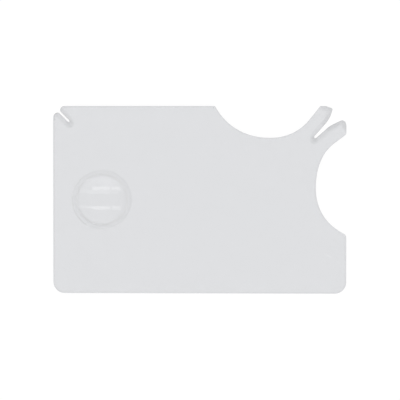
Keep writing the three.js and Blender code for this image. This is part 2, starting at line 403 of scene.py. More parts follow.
@dataclass(frozen=True)
class Rim:
    """The section of the card's rim, from its underside to its upper face.

    A plain edge is rounded at the bottom and the top. Beside the slots, a long ramp climbs from a
    low wall to the upper face instead, and its crest is eased into the face.

    Attributes:
        edge_radius: how round a plain edge is.
        ramp_width: how far a ramp reaches in.
        ramp_land: how much straight wall is left below a ramp.
        ramp_run_out: over what length a ramp dies away along the card's edge.
        outer_ramp_share: the share of the ramp at the card's edge.
        crest_share: how much of the climb the easing of a ramp's crest takes.
        ramp_shade_cut: how much of an edge's painted shade is left out below a ramp.
        faint_share: the share of an edge's painted shade where the upper face begins.
        faint_width: how far in that painted shade fades out.
        faint_power: how fast that painted shade gives way as a ramp sets in.
        step_width: how far the last ring moves in beside a ramp, where nothing fades.
        edge_steps: how many facets the lower edge has.
        ramp_steps: how many facets the upper edge and the ramps have.
        corner_step: the most that a rounded corner turns in one facet, in degrees.
        least_facets: how many facets the smallest rounded corner has.
        rounded_share: how much of a line its two roundings may take.
        least_radius: the least rounding of an inset corner.
    """

    edge_radius: float = 0.35
    ramp_width: float = 1.2
    ramp_land: float = 0.15
    ramp_run_out: float = 1.2
    outer_ramp_share: float = 0.6
    crest_share: float = 0.08
    ramp_shade_cut: float = 0.9
    faint_share: float = 0.4
    faint_width: float = 0.35
    faint_power: int = 4
    step_width: float = 0.02
    edge_steps: int = 8
    ramp_steps: int = 12
    corner_step: float = 6.0
    least_facets: int = 2
    rounded_share: float = 0.96
    least_radius: float = 0.05

    def levels(self, ramps: np.ndarray, thickness: float) -> tuple[np.ndarray, ...]:
        """The section at each corner of the outline.

        The lower edge is a quarter circle, inset e(1 - sin a) and height e(1 - cos a). The upper
        edge is the same circle turned over, mixed by the share of ramp with a straight climb
        whose last stretch, 2c of it long, is the parabola climb - (climb - 1 + c)^2 / 4c, which
        ends level.

        Args:
            ramps: the share of ramp at each corner.
            thickness: the card's thickness.

        Returns:
            The insets, heights, shares of painted edge shade and shares of ramp, one row a level.
            The share of ramp fades as it climbs, and the last two levels lie on the upper face.
        """
        edge = self.edge_radius
        low = np.linspace(0.0, math.pi / 2, self.edge_steps + 1)[:, None]
        high = np.linspace(0.0, math.pi / 2, self.ramp_steps + 1)[:, None]
        climb = high / high[-1] * (1.0 + self.crest_share)
        eased = np.clip(climb - (1.0 - self.crest_share), 0.0, None)
        crest = climb - eased**2 / (4.0 * self.crest_share)
        land = edge + self.ramp_land
        plain_height = thickness - edge * (1.0 - np.sin(high))
        ramp_height = land + (thickness - land) * crest
        fading = 1.0 - climb / climb[-1]
        none, every = np.zeros_like(ramps), np.ones_like(ramps)
        upper = edge * (1.0 - np.cos(high)) * (1.0 - ramps) + self.ramp_width * climb * ramps
        plain = (1.0 - ramps) ** self.faint_power
        last = upper[-1:] + self.step_width + (self.faint_width - self.step_width) * plain
        return (
            np.concatenate([edge * (1.0 - np.sin(low)) * every, upper, last]),
            np.concatenate([
                edge * (1.0 - np.cos(low)) * every,
                plain_height * (1.0 - ramps) + ramp_height * ramps,
                thickness * every[None],
            ]),
            # painted shade of the rounded edges: full on the steep wall, less below a ramp, faint
            # where the upper face begins
            np.concatenate([
                np.sin(low) * (1.0 - self.ramp_shade_cut * ramps),
                np.maximum(np.cos(high) * (1.0 - ramps), self.faint_share * plain),
                none[None],
            ]),
            np.concatenate([low * none, fading * ramps, none[None]]),
        )

    def rings(self, outline: Run, thickness: float) -> Rings:
        """Carries the section round the card's outline.

        Each level moves every corner in along its mitre, so that both of its edges move in alike,
        and then rounds it with the arc start + r (sin a t + (1 - cos a) n), where t and n point
        along the edge before it and to its left. Where two arcs would meet on the edge between
        them, both give way by the same share.

        Args:
            outline: the card's outline, anticlockwise seen from above.
            thickness: the card's thickness.

        Returns:
            The rings from the underside to the upper face.
        """
        insets, heights, edges, ramps = self.levels(outline.ramps, thickness)
        before, here, after = neighbours(outline.places[None])
        turns = turn_between(before, here, after)
        first, second = left_of(unit(here - before)), left_of(unit(after - here))
        mitre = (first + second) / (1.0 + (first * second).sum(-1, keepdims=True))
        moved = here + mitre * insets[..., None]
        kept = np.maximum(outline.radii - np.sign(turns) * insets, self.least_radius)
        radii = np.where(outline.radii == 0.0, 0.0, kept)

        before, here, after = neighbours(moved)
        bends = turn_between(before, here, after)
        wanted = radii * np.tan(np.abs(bends) / 2)
        room = np.linalg.norm(after - here, axis=-1) * self.rounded_share
        fits = np.minimum(1.0, room / np.maximum(wanted + np.roll(wanted, -1, 1), TINY))
        reach = wanted * np.minimum(fits, np.roll(fits, 1, 1))

        facets = np.ceil(np.abs(turns[0]) / math.radians(self.corner_step)).astype(int)
        arcs = np.maximum(facets, self.least_facets) + 1
        counts = np.where(outline.radii == 0.0, 1, arcs)
        corner = np.repeat(np.arange(len(counts)), counts)
        index = np.arange(counts.sum()) - np.repeat(np.cumsum(counts) - counts, counts)
        share = index / np.maximum(counts[corner] - 1, 1)

        arriving = unit(here - before)[:, corner]
        turn = bends[:, corner]
        half = np.where(np.abs(turn) < TINY, TINY, turn) / 2
        radius = (reach[:, corner] / np.tan(half))[..., None]
        start = here[:, corner] - arriving * reach[:, corner][..., None]
        angle = (turn * share)[..., None]
        arc = start + radius * (np.sin(angle) * arriving + (1 - np.cos(angle)) * left_of(arriving))
        places = np.concatenate([arc, heights[:, corner][..., None]], axis=-1)
        return Rings(places, {Zone.EDGE: edges[:, corner], Zone.RAMP: ramps[:, corner]})


def neighbours(points: np.ndarray) -> tuple[np.ndarray, np.ndarray, np.ndarray]:
    """The points of closed lines with those before and after them, on the middle axis."""
    return np.roll(points, 1, 1), points, np.roll(points, -1, 1)


def turn_between(before: np.ndarray, here: np.ndarray, after: np.ndarray) -> np.ndarray:
    """How sharply a line turns at its middle point, in radians, positive to the left."""
    arriving, leaving = here - before, after - here
    return np.arctan2(crossed(arriving, leaving), (arriving * leaving).sum(-1))


@dataclass
class Surface:
    """A mesh in the making.

    Attributes:
        points: the places of its points, in millimetres.
        shares: the finish's shares at the points, by zone.
        smooth: the corners of the faces that are shaded smooth, as point numbers.
        flat: the corners of the flat ones.
    """

    points: list[np.ndarray] = field(default_factory=list)
    shares: dict[Zone, list[np.ndarray]] = field(default_factory=dict)
    smooth: list[np.ndarray] = field(default_factory=list)
    flat: list[np.ndarray] = field(default_factory=list)

    def add_points(self, rings: Rings) -> np.ndarray:
        """Takes the points of rings in and numbers them.

        Args:
            rings: the rings.

        Returns:
            The points' numbers, one row a ring.
        """
        first = sum(len(part) for part in self.points)
        self.points.append(rings.points.reshape(-1, 3))
        count = len(self.points[-1])
        for zone in Zone:
            share = rings.shares.get(zone, np.zeros(count))
            self.shares.setdefault(zone, []).append(share.reshape(-1))
        return np.arange(first, first + count).reshape(rings.points.shape[:-1])

    def add_skin(self, numbers: np.ndarray, outwards: bool = True, soft: bool = True) -> None:
        """Joins neighbouring closed rings with quads.

        Args:
            numbers: the points' numbers, one row a ring, anticlockwise and going up.
            outwards: True if the skin faces away from the middle of its rings.
            soft: True if the quads are shaded smooth.
        """
        a, b = numbers[:-1], np.roll(numbers, -1, 1)[:-1]
        c, d = np.roll(numbers, -1, 1)[1:], numbers[1:]
        corners = [a, b, c, d] if outwards else [a, d, c, b]
        faces = self.smooth if soft else self.flat
        faces.append(np.stack(corners, axis=-1).reshape(-1, 4))

    def add_cap(self, loops: Sequence[np.ndarray], up: bool) -> None:
        """Closes a level face, with its holes left open, by flat triangles.

        Args:
            loops: the points' numbers round the face, and then round each hole.
            up: True if the face looks up.
        """
        every = np.concatenate(self.points)
        numbers = np.concatenate(loops)
        lines = [[Vector(place) for place in every[loop, :2].tolist()] for loop in loops]
        faces = numbers[np.array(tessellate_polygon(lines))]
        p, q, r = (every[faces[:, k], :2] for k in range(3))
        wrong = (crossed(q - p, r - p) > 0) != up
        faces[wrong] = faces[wrong][:, ::-1]
        self.flat.append(faces)

    def add_pole(self, ring: np.ndarray, pole: np.ndarray) -> None:
        """Closes a ring to a single point above it with smooth triangles."""
        corners = [ring, np.roll(ring, -1), np.full_like(ring, pole.item())]
        self.smooth.append(np.stack(corners, axis=-1))

    def piece(self, name: str, sharp: float, finish: bpy.types.Material) -> bpy.types.Object:
        """Makes the mesh and its object at the origin, in metres.

        Args:
            name: the piece's name.
            sharp: the angle in degrees past which an edge between smooth faces stays sharp.
            finish: the piece's material.

        Returns:
            The object, already in the scene.
        """
        faces = [face for part in self.smooth + self.flat for face in part.tolist()]
        soft = sum(len(part) for part in self.smooth)
        mesh = bpy.data.meshes.new(name)
        mesh.from_pydata((np.concatenate(self.points) * MILLIMETRE).tolist(), [], faces)
        mesh.set_sharp_from_angle(angle=math.radians(sharp))
        mesh.polygons.foreach_set("use_smooth", np.arange(len(faces)) < soft)
        for zone, parts in self.shares.items():
            layer = mesh.attributes.new(zone.value, "FLOAT", "POINT")
            layer.data.foreach_set("value", np.concatenate(parts).astype(np.float32))
        mesh.update()
        mesh.materials.append(finish)
        return placed(name, mesh)


def placed(name: str, data: bpy.types.ID) -> bpy.types.Object:
    """Makes an object of its data and puts it into the scene, at the origin.

    Args:
        name: the object's name.
        data: its mesh, camera or lamp.

    Returns:
        The object.
    """
    made = bpy.data.objects.new(name, data)
    bpy.context.scene.collection.objects.link(made)
    return made


# Shader graphs


class Number:
    """A socket with a number, whose sums and products add Math nodes."""

    def __init__(self, graph: "Graph", socket: Socket) -> None:
        """Wraps a socket of the graph."""
        self.graph = graph
        self.socket = socket

    def maths(self, operation: str, *values: "Number | float") -> "Number":
        """The result of one Math node, with the values in its sockets in order."""
        return self.graph.number("Math", 0, dict(enumerate(values)), operation=operation)

    def __add__(self, other: "Number | float") -> "Number":
        """This plus another."""
        return self.maths("ADD", self, other)

    __radd__ = __add__

    def __sub__(self, other: "Number | float") -> "Number":
        """This less another."""
        return self.maths("SUBTRACT", self, other)

    def __rsub__(self, other: float) -> "Number":
        """A number less this."""
        return self.maths("SUBTRACT", other, self)

    def __mul__(self, other: "Number | float") -> "Number":
        """This times another."""
        return self.maths("MULTIPLY", self, other)

    __rmul__ = __mul__

    def __truediv__(self, other: "Number | float") -> "Number":
        """This divided by another."""
        return self.maths("DIVIDE", self, other)

    def larger(self, other: "Number | float") -> "Number":
        """The larger of this and another."""
        return self.maths("MAXIMUM", self, other)

    def smaller(self, other: "Number | float") -> "Number":
        """The smaller of this and another."""
        return self.maths("MINIMUM", self, other)

    def within(self, low: float, high: float) -> "Number":
        """How far this has come from low to high, from 0 to 1 and eased at both ends."""
        inputs = {"Value": self, "From Min": low, "From Max": high}
        return self.graph.number("MapRange", 0, inputs, interpolation_type="SMOOTHSTEP")


class Graph:
    """The nodes of one material or sky."""

    def __init__(self, owner: bpy.types.Material | bpy.types.World) -> None:
        """Turns the owner's nodes on, with none among them yet.

        Args:
            owner: the material or sky.
        """
        owner.use_nodes = True
        self.tree = owner.node_tree
        self.tree.nodes.clear()

    def node(
        self, kind: str, inputs: Inputs | None = None, **settings: object
    ) -> bpy.types.Node:
        """Adds a node.

        Args:
            kind: the node's type, without its prefix.
            inputs: values or links for its input sockets, by name or number.
            settings: its own settings, which are set first.

        Returns:
            The node.
        """
        made = self.tree.nodes.new("ShaderNode" + kind)
        for name, value in settings.items():
            setattr(made, name, value)
        for key, value in (inputs or {}).items():
            if isinstance(value, Number):
                value = value.socket
            if isinstance(value, Socket):
                self.tree.links.new(made.inputs[key], value)
            else:
                made.inputs[key].default_value = value
        return made

    def output(
        self, kind: str, name: str | int, inputs: Inputs | None = None, **settings: object
    ) -> Socket:
        """One output of a new node, by its name or number."""
        return self.node(kind, inputs, **settings).outputs[name]

    def number(
        self, kind: str, name: str | int, inputs: Inputs | None = None, **settings: object
    ) -> Number:
        """One output of a new node as a number."""
        return Number(self, self.output(kind, name, inputs, **settings))

    def share(self, zone: Zone) -> Number:
        """The share of a zone that the mesh carries."""
        return self.number("Attribute", "Fac", attribute_name=zone.value)

    def vector(self, operation: str, *values: object) -> Socket:
        """The vector that one Vector Math node works out, with the values in its sockets."""
        return self.output("VectorMath", "Vector", dict(enumerate(values)), operation=operation)

    def measure(self, operation: str, *values: object) -> Number:
        """The number that one Vector Math node works out, with the values in its sockets."""
        return self.number("VectorMath", "Value", dict(enumerate(values)), operation=operation)

    def place(self, stretch: Sequence[float] = (1, 1, 1), turn: float = 0.0) -> Socket:
        """Object coordinates in millimetres, turned in the plane and then stretched.

        Args:
            stretch: how many pattern units a millimetre is along each axis.
            turn: the pattern's turn in the plane, in degrees.

        Returns:
            The vector socket.
        """
        place = self.output("TexCoord", "Object")
        inputs = {"Vector": place, "Rotation": (0, 0, math.radians(turn))}
        turned = self.output("Mapping", 0, inputs, vector_type="TEXTURE")
        return self.vector("MULTIPLY", turned, Vector(stretch) / MILLIMETRE)

    def upright(self, place: Socket) -> Number:
        """The height of a place."""
        return self.number("SeparateXYZ", "Z", {0: place})

    def blend(self, share: Number | float, start: object, end: object) -> Socket:
        """A colour that goes from start to end with a share."""
        return self.output("Mix", 2, {0: share, 6: start, 7: end}, data_type="RGBA")


def grey(level: float) -> tuple[float, float, float, float]:
    """An opaque grey."""
    return (level, level, level, 1.0)


@dataclass(frozen=True)
class Cloud:
    """A pattern of soft noise, laid over a piece.

    Attributes:
        scale: how many blotches there are in a pattern unit.
        detail: how many finer layers it has.
        stretch: how many pattern units a millimetre is along each axis.
        turn: the pattern's turn in the plane, in degrees.
        low: the noise at which the pattern's marks begin.
        high: the noise at which they are full.
    """

    scale: float
    detail: float = 1.0
    stretch: tuple[float, float, float] = (1.0, 1.0, 1.0)
    turn: float = 0.0
    low: float = 0.0
    high: float = 1.0

    def noise(self, graph: Graph) -> Number:
        """The plain noise, from 0 to 1."""
        place = graph.place(self.stretch, self.turn)
        return graph.number("TexNoise", 0, {0: place, "Scale": self.scale, "Detail": self.detail})

    def marks(self, graph: Graph) -> Number:
        """The pattern's marks, from 0 where there is none to 1."""
        return self.noise(graph).within(self.low, self.high)


@dataclass(frozen=True)
class PaintedShadeMargin:
    """A margin of painted shade beside a line on the card.

    Attributes:
        line: the line's corners, one row each. It may be a single point.
        depth: how much darker it is at its darkest.
        full: how far from the line it stays darkest.
        end: how far from the line it ends.
    """

    line: np.ndarray
    depth: float
    full: float
    end: float

    @staticmethod
    def distance(graph: Graph, start: np.ndarray, end: np.ndarray) -> Number:
        """The distance to a straight stretch of the line.

        The foot on the stretch is start + h (end - start), where h is the place's share of the
        way along it, held between 0 and 1.

        Args:
            graph: the material's graph.
            start: where the stretch starts.
            end: where it ends.

        Returns:
            The distance in millimetres.
        """
        way = end - start
        length = max(float(way @ way), TINY)
        offset = graph.vector("SUBTRACT", graph.place((1, 1, 0)), (*start, 0.0))
        share = graph.measure("DOT_PRODUCT", offset, (*(way / length), 0.0))
        inputs = {0: (*way, 0.0), "Scale": share.larger(0.0).smaller(1.0)}
        foot = graph.output("VectorMath", "Vector", inputs, operation="SCALE")
        return graph.measure("LENGTH", graph.vector("SUBTRACT", offset, foot))

    def darkness(self, graph: Graph) -> Number:
        """How much darker it makes a place, by the distance to the nearest stretch of the line.

        Args:
            graph: the material's graph.

        Returns:
            The share of light that is lost.
        """
        ends = self.line[1:] if len(self.line) > 1 else self.line
        away = (self.distance(graph, *stretch) for stretch in zip(self.line, ends))
        return self.depth * (1.0 - reduce(Number.smaller, away).within(self.full, self.end))


@dataclass(frozen=True)
class PaintedShadeRing:
    """A ring of painted shade round the lens's axis, deeper on one side.

    Attributes:
        start: the radius where it starts.
        peak: the radius where it is darkest.
        end: the radius where it ends.
        depth: how much darker it is there, on average round the ring.
        side: the direction in which it is deepest, in degrees from the x axis.
        bias: how much deeper it is on that side than on the opposite one, as a share.
        fold: how much deeper it is on both of those sides than between them, as a share.
    """

    start: float
    peak: float
    end: float
    depth: float
    side: float = 270.0
    bias: float = 0.0
    fold: float = 0.0

    def darkness(self, graph: Graph, centre: np.ndarray) -> Number:
        """How much darker it makes a place, by its distance and direction from the axis.

        With c the cosine of the angle between the place and the side, the depth is multiplied by
        1 + bias c + fold (2 c^2 - 1).

        Args:
            graph: the material's graph.
            centre: where the axis stands.

        Returns:
            The share of light that is lost.
        """
        offset = graph.vector("SUBTRACT", graph.place((1, 1, 0)), (*centre, 0.0))
        away = graph.measure("LENGTH", offset)
        towards = graph.measure("DOT_PRODUCT", offset, (*heading(self.side), 0.0))
        ring = away.within(self.start, self.peak) - away.within(self.peak, self.end)
        cosine = towards / away.larger(1.0)
        lean = 1.0 - self.fold + self.bias * cosine + 2.0 * self.fold * cosine * cosine
        return self.depth * ring * lean


# painted shade round the seat's rim, laid on both the card and the lens
SEAT_SHADE_RING = PaintedShadeRing(start=7.2, peak=8.15, end=9.1, depth=0.031)


@dataclass(frozen=True)
class ClearPlastic:
    """A clear moulded plastic, faintly smoked, with the marks of use and with painted shade in its
    colour.

    Attributes:
        name: the material's name.
        tint: how much red, green and blue light a wall lets through, straight on.
        seam: how much light the faces between the two pieces let through.
        edge_depth: how much darker the painted shade makes the rounded edges.
        polish: the roughness of a clean polished face.
        smudge: how much rougher a finger mark is.
        ramp_grain: how much rougher the ramps are.
        hairlines: how much rougher a hairline scratch is.
        hairline_depth: how deep a hairline is cut, in millimetres.
        flow_height: the height of the moulding's flow waves, in millimetres.
        flow_loss: how much darker the moulding's densest streaks are.
        ior: how strongly it bends light.
        clearness: the share of light that isn't scattered.
        bond: the share of the faces between the pieces that the bond makes vanish.
        scuffing: how much rougher the underside is, where the card lies and slides.
        scuffed_height: how high above the underside the scuffing reaches.
        streaks: the moulding's streaks.
        waves: the moulding's flow waves.
        fingers: the finger marks.
        hairs: the hairlines, in each of their directions.
        patches: where the hairlines show.
    """

    name: str
    tint: tuple[float, float, float] = (0.753, 0.76, 0.777)
    seam: float = 0.96
    edge_depth: float = 0.14
    polish: float = 0.03
    smudge: float = 0.07
    ramp_grain: float = 0.2
    hairlines: float = 0.12
    hairline_depth: float = 0.00002
    flow_height: float = 0.0004
    flow_loss: float = 0.012
    ior: float = 1.49
    clearness: float = 1.0
    bond: float = 0.8
    scuffing: float = 0.1
    scuffed_height: float = 0.15
    streaks: Cloud = Cloud(0.09, detail=2.0, stretch=(1, 1.6, 1))
    waves: Cloud = Cloud(0.16, stretch=(1, 1.8, 1), turn=8.0)
    fingers: Cloud = Cloud(0.13, detail=4.0, turn=20.0, low=0.5, high=0.75)
    hairs: tuple[Cloud, ...] = tuple(
        Cloud(1.0, stretch=(0.03, across, 1), turn=turn, low=0.7, high=0.74)
        for turn, across in ((12.0, 2.6), (63.0, 3.4), (151.0, 2.2))
    )
    patches: Cloud = Cloud(0.11, low=0.45, high=0.6)

    def colour(self, graph: Graph, losses: Sequence[Number | float]) -> Socket:
        """The tint, darker by the moulding's streaks, by the painted shade of the rounded edges
        and by the painted shade in the losses, and none where pieces touch.

        Args:
            graph: the material's graph.
            losses: the shares of light that the painted shade takes away, beside the streaks.

        Returns:
            The colour.
        """
        clear = 1.0 - self.flow_loss * self.streaks.noise(graph)
        # painted shade on the rounded edges, then the other painted shade
        for loss in (self.edge_depth * graph.share(Zone.EDGE), *losses):
            clear = clear * (1.0 - loss)
        shaded = graph.blend(clear, grey(0.0), (*self.tint, 1.0))
        return graph.blend(graph.share(Zone.SEAT), shaded, grey(self.seam))

    def scratches(self, graph: Graph) -> Number:
        """Fine hairlines in three directions, in patches: thin ridges of stretched noise."""
        lines = reduce(Number.larger, (hair.marks(graph) for hair in self.hairs))
        return lines * self.patches.marks(graph)

    def roughness(self, graph: Graph, scratches: Number) -> Number:
        """Polished, with finger marks and hairlines, grained ramps and a scuffed underside.

        Args:
            graph: the material's graph.
            scratches: where the hairlines are.

        Returns:
            The roughness.
        """
        fine = self.smudge * self.fingers.marks(graph) + self.hairlines * scratches
        height = graph.upright(graph.place())
        low = 1.0 - height.within(self.scuffed_height / 2, self.scuffed_height)
        return self.polish + fine + self.ramp_grain * graph.share(Zone.RAMP) + self.scuffing * low

    def relief(self, graph: Graph, scratches: Number) -> Socket:
        """The flow waves of the moulding, and the hairlines cut into them.

        Args:
            graph: the material's graph.
            scratches: where the hairlines are.

        Returns:
            The normal.
        """
        waves = self.waves.noise(graph) * self.flow_height
        height = (waves - self.hairline_depth * scratches) * MILLIMETRE
        return graph.output("Bump", "Normal", {"Strength": 1.0, "Distance": 1.0, "Height": height})

    def material(
        self, centre: np.ndarray, halos: Sequence[PaintedShadeRing], margins: Sequence[PaintedShadeMargin] = ()
    ) -> bpy.types.Material:
        """Makes the material.

        Args:
            centre: where the lens's axis stands.
            halos: the rings of painted shade round it.
            margins: the margins of painted shade, of which the darkest counts at a place.

        Returns:
            The material.
        """
        made = bpy.data.materials.new(self.name)
        graph = Graph(made)
        scratches = self.scratches(graph)
        # the darkest painted shade of the margins at each place
        painted_shade = reduce(lambda most, margin: margin.darkness(graph).larger(most), margins, 0.0)
        # the rings of painted shade round the lens's axis
        rings = (halo.darkness(graph, centre) for halo in halos)
        shader = graph.output("BsdfPrincipled", 0, {
            "Base Color": self.colour(graph, (painted_shade, *rings)),
            "Roughness": self.roughness(graph, scratches),
            "Normal": self.relief(graph, scratches),
            "IOR": self.ior,
            "Transmission Weight": self.clearness,
            "Alpha": 1.0 - self.bond * graph.share(Zone.SEAT),
        })
        graph.node("OutputMaterial", {"Surface": shader})
        return made


# The pieces


@dataclass(frozen=True)
class Seat:
    """The stepped seat in the card and the play round the lens's flange.

    Attributes:
        ledge: the height of the ledge that carries the flange.
        clearance: the play round the lens.
        chamfer: how far the edges of the seat and the lens are cut back.
        blur: over how short a height the bond between the pieces begins and ends.
        steps: how many facets there are round it.
    """

    ledge: float = 0.7
    clearance: float = 0.05
    chamfer: float = 0.12
    blur: float = 0.01
    steps: int = 192


@dataclass(frozen=True)
class LensShape:
    """The magnifier's sizes, taken from its place in the frame.

    Attributes:
        centre: where its axis stands.
        flange_radius: the outer radius of its flange.
        dome_radius: the radius at the dome's foot.
        back: the height of its flat back.
        apex: the height of its apex.
        sag: how far the dome falls from its apex to its foot.
        flange_rise: how far the flange's top lies above the dome's foot.
    """

    centre: np.ndarray
    flange_radius: float
    dome_radius: float
    back: float
    apex: float
    sag: float = 0.8
    flange_rise: float = 0.05

    @classmethod
    def from_frame(cls, flange_width: float = 1.25) -> "LensShape":
        """Reads the lens's place and radius from the frame's box of its node.

        Args:
            flange_width: how wide the flange is.

        Returns:
            The shape.
        """
        low, high = (np.array(corner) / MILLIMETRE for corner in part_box(Node.LENS.value))
        radius = float(high[0] - low[0]) / 2
        back, apex = float(low[2]), float(high[2])
        return cls((low[:2] + high[:2]) / 2, radius, radius - flange_width, back, apex)

    @property
    def rim_top(self) -> float:
        """The height of the flange's top."""
        return self.apex - self.sag + self.flange_rise

    @property
    def sphere(self) -> float:
        """The dome's radius of curvature: (foot squared + sag squared) / 2 sag."""
        return (self.dome_radius**2 + self.sag**2) / (2 * self.sag)

    def fall(self, distance: np.ndarray) -> np.ndarray:
        """How far the dome has fallen at a distance from its axis: R - sqrt(R^2 - r^2)."""
        return self.sphere - np.sqrt(self.sphere**2 - distance**2)


@dataclass
class CardBody:
    """The moulded plate, with both bows, both slots, the ramps and the lens's seat.

    Attributes:
        finish: its plastic.
        lens: the shape of the lens that it holds.
        seat: the lens's seat.
        rim: the section of its rim.
        fork: the slot between the prongs.
        fine_slot: the other slot.
        corner_radius: how round its two plain corners are.
        top_bow: the bow in the long edge, with the prong beside it.
        side_bow: the bow in the short edge, with the prong beside it.
        fork_shade_pool: how far past the fork's end the pool of painted shade there lies, along
            either edge.
        fine_shade_pool: how far past the fine slot's end the pool of painted shade there lies,
            along the slot.
        fine_shift: how far that pool lies to the left and down from there.
        halos: the soft rings of painted shade over the seat.
        sharp: the angle in degrees past which its edges stay sharp.
    """

    finish: ClearPlastic
    lens: LensShape
    seat: Seat = Seat()
    rim: Rim = Rim()
    fork: ForkSlot = ForkSlot()
    fine_slot: FineSlot = FineSlot()
    corner_radius: float = 3.3
    top_bow: FingerBow = FingerBow(
        start=7.5, mouth=30.3, depth=9.15, belly=15.9, entry_angle=60.8, corner_radius=0.35,
        lead_in=0.22, flank_angle=51.2, flank_length=5.0, heel_radius=0.12, tip_radius=0.5,
        tip_angle=19.0, shoulder=5.95, flare_width=3.28, flare_angle=27.6,
    )
    side_bow: FingerBow = FingerBow(
        start=8.15, mouth=28.95, depth=8.75, belly=13.5, entry_angle=62.3, corner_radius=1.1,
        lead_in=1.1, flank_angle=53.0, flank_length=4.4, heel_radius=1.1, tip_radius=1.05,
        tip_angle=18.0, shoulder=5.47, flare_width=3.44, flare_angle=20.3,
    )
    fork_shade_pool: float = 0.25
    fine_shade_pool: float = 0.45
    fine_shift: float = 0.2
    halos: tuple[PaintedShadeRing, ...] = (SEAT_SHADE_RING,)
    sharp: float = 38.0

    def __post_init__(self) -> None:
        """Takes the card's sizes from the frame, and with them the corners that have a slot."""
        low, high = (np.array(corner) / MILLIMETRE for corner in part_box(Node.CARD.value))
        self.half = (high - low)[:2] / 2
        self.thickness = float(high[2] - low[2])
        self.fork_corner, self.fine_corner = self.half, self.half * (-1, 1)
        self.bows = self.side_bow, self.top_bow

    def outline(self) -> Run:
        """The card's whole outline, from its lower left corner.

        Returns:
            The outline, anticlockwise seen from above.
        """
        side, top = (bow.curve() + self.fork.side(bow, self.rim) for bow in self.bows)
        fine = self.fine_slot.side(self.rim)
        return (
            Run.of(self.half * ((-1, -1), (1, -1)), self.corner_radius)
            + side.beside(self.fork_corner, True)
            + top.beside(self.fork_corner, False).reversed()
            + fine.beside(self.fine_corner, False)
            + fine.beside(self.fine_corner, True).reversed()
        )

    def seat_profile(self) -> np.ndarray:
        """The seat's radii, heights and shares of touching: hole, ledge and counterbore.

        It is chamfered at both faces, and touches the lens up to the top of the lens's flange.

        Returns:
            The profile from the underside to the upper face, one row a level.
        """
        seat, lens, top = self.seat, self.lens, self.thickness
        ledge, chamfer, blur = seat.ledge, seat.chamfer, seat.blur
        hole, step = lens.dome_radius + seat.clearance, lens.flange_radius + seat.clearance
        joined = lens.rim_top - chamfer
        return np.array([
            (hole + chamfer + blur, 0.0, 0.0), (hole + chamfer, 0.0, 1.0), (hole, chamfer, 1.0),
            (hole, ledge, 1.0), (step, ledge, 1.0), (step, joined, 1.0),
            (step, joined + blur, 0.0), (step, top - chamfer, 0.0), (step + chamfer, top, 0.0),
        ])

    def surface(self) -> Surface:
        """The rim carried round the outline, the seat turned, and two level faces.

        Returns:
            The card's surface.
        """
        made = Surface()
        rim = made.add_points(self.rim.rings(self.outline(), self.thickness))
        made.add_skin(rim[:-1])
        made.add_skin(rim[-2:], soft=False)
        profile = self.seat_profile()
        seat = made.add_points(Rings.turned(profile, self.lens.centre, self.seat.steps))
        made.add_skin(seat, outwards=False)
        made.add_cap([rim[0], seat[0]], up=False)
        made.add_cap([rim[-1], seat[-1]], up=True)
        return made

    def margins(self) -> tuple[PaintedShadeMargin, ...]:
        """The margins of painted shade beside both slots, and the pools of painted shade past
        their ends.

        Returns:
            The painted shade margins of the fork's lower and upper side, of the fine slot and of
            its noses.
        """
        lower, upper = (
            Run.of(self.fork.corners(bow)).beside(self.fork_corner, swapped).places
            for bow, swapped in zip(self.bows, (True, False))
        )
        end = self.fine_slot.depth
        along = np.array([0.0, end, end + self.fine_shade_pool])
        fine = Run.of(on_bisector(along, np.zeros(3)).T).beside(self.fine_corner, False).places
        nose = Run.of(self.fine_slot.shade_line())
        right, left = (nose.beside(self.fine_corner, swapped).places for swapped in (False, True))
        return (
            PaintedShadeMargin(lower[:3], depth=0.14, full=0.6, end=1.9),
            PaintedShadeMargin(lower[2:4], depth=0.12, full=0.6, end=1.9),
            PaintedShadeMargin(lower[3:], depth=0.05, full=0.9, end=2.0),
            PaintedShadeMargin(upper[:3], depth=0.115, full=0.6, end=2.2),
            PaintedShadeMargin(upper[2:4], depth=0.075, full=0.4, end=1.9),
            PaintedShadeMargin(upper[3:], depth=0.02, full=0.6, end=1.8),
            PaintedShadeMargin(lower[-1:] - self.fork_shade_pool, depth=0.14, full=0.6, end=1.6),
            PaintedShadeMargin(fine[:2], depth=0.025, full=1.2, end=2.2),
            PaintedShadeMargin(fine[2:] - self.fine_shift, depth=0.115, full=0.7, end=1.6),
            PaintedShadeMargin(right, depth=0.11, full=0.35, end=0.85),
            PaintedShadeMargin(left, depth=0.18, full=0.35, end=0.85),
        )

    def build(self) -> bpy.types.Object:
        """Makes the card's piece and dresses it.

        Returns:
            The piece.
        """
        finish = self.finish.material(self.lens.centre, self.halos, self.margins())
        piece = self.surface().piece("card_plate", self.sharp, finish)
        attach(piece, "root")
        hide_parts(Node.CARD.value)
        return piece


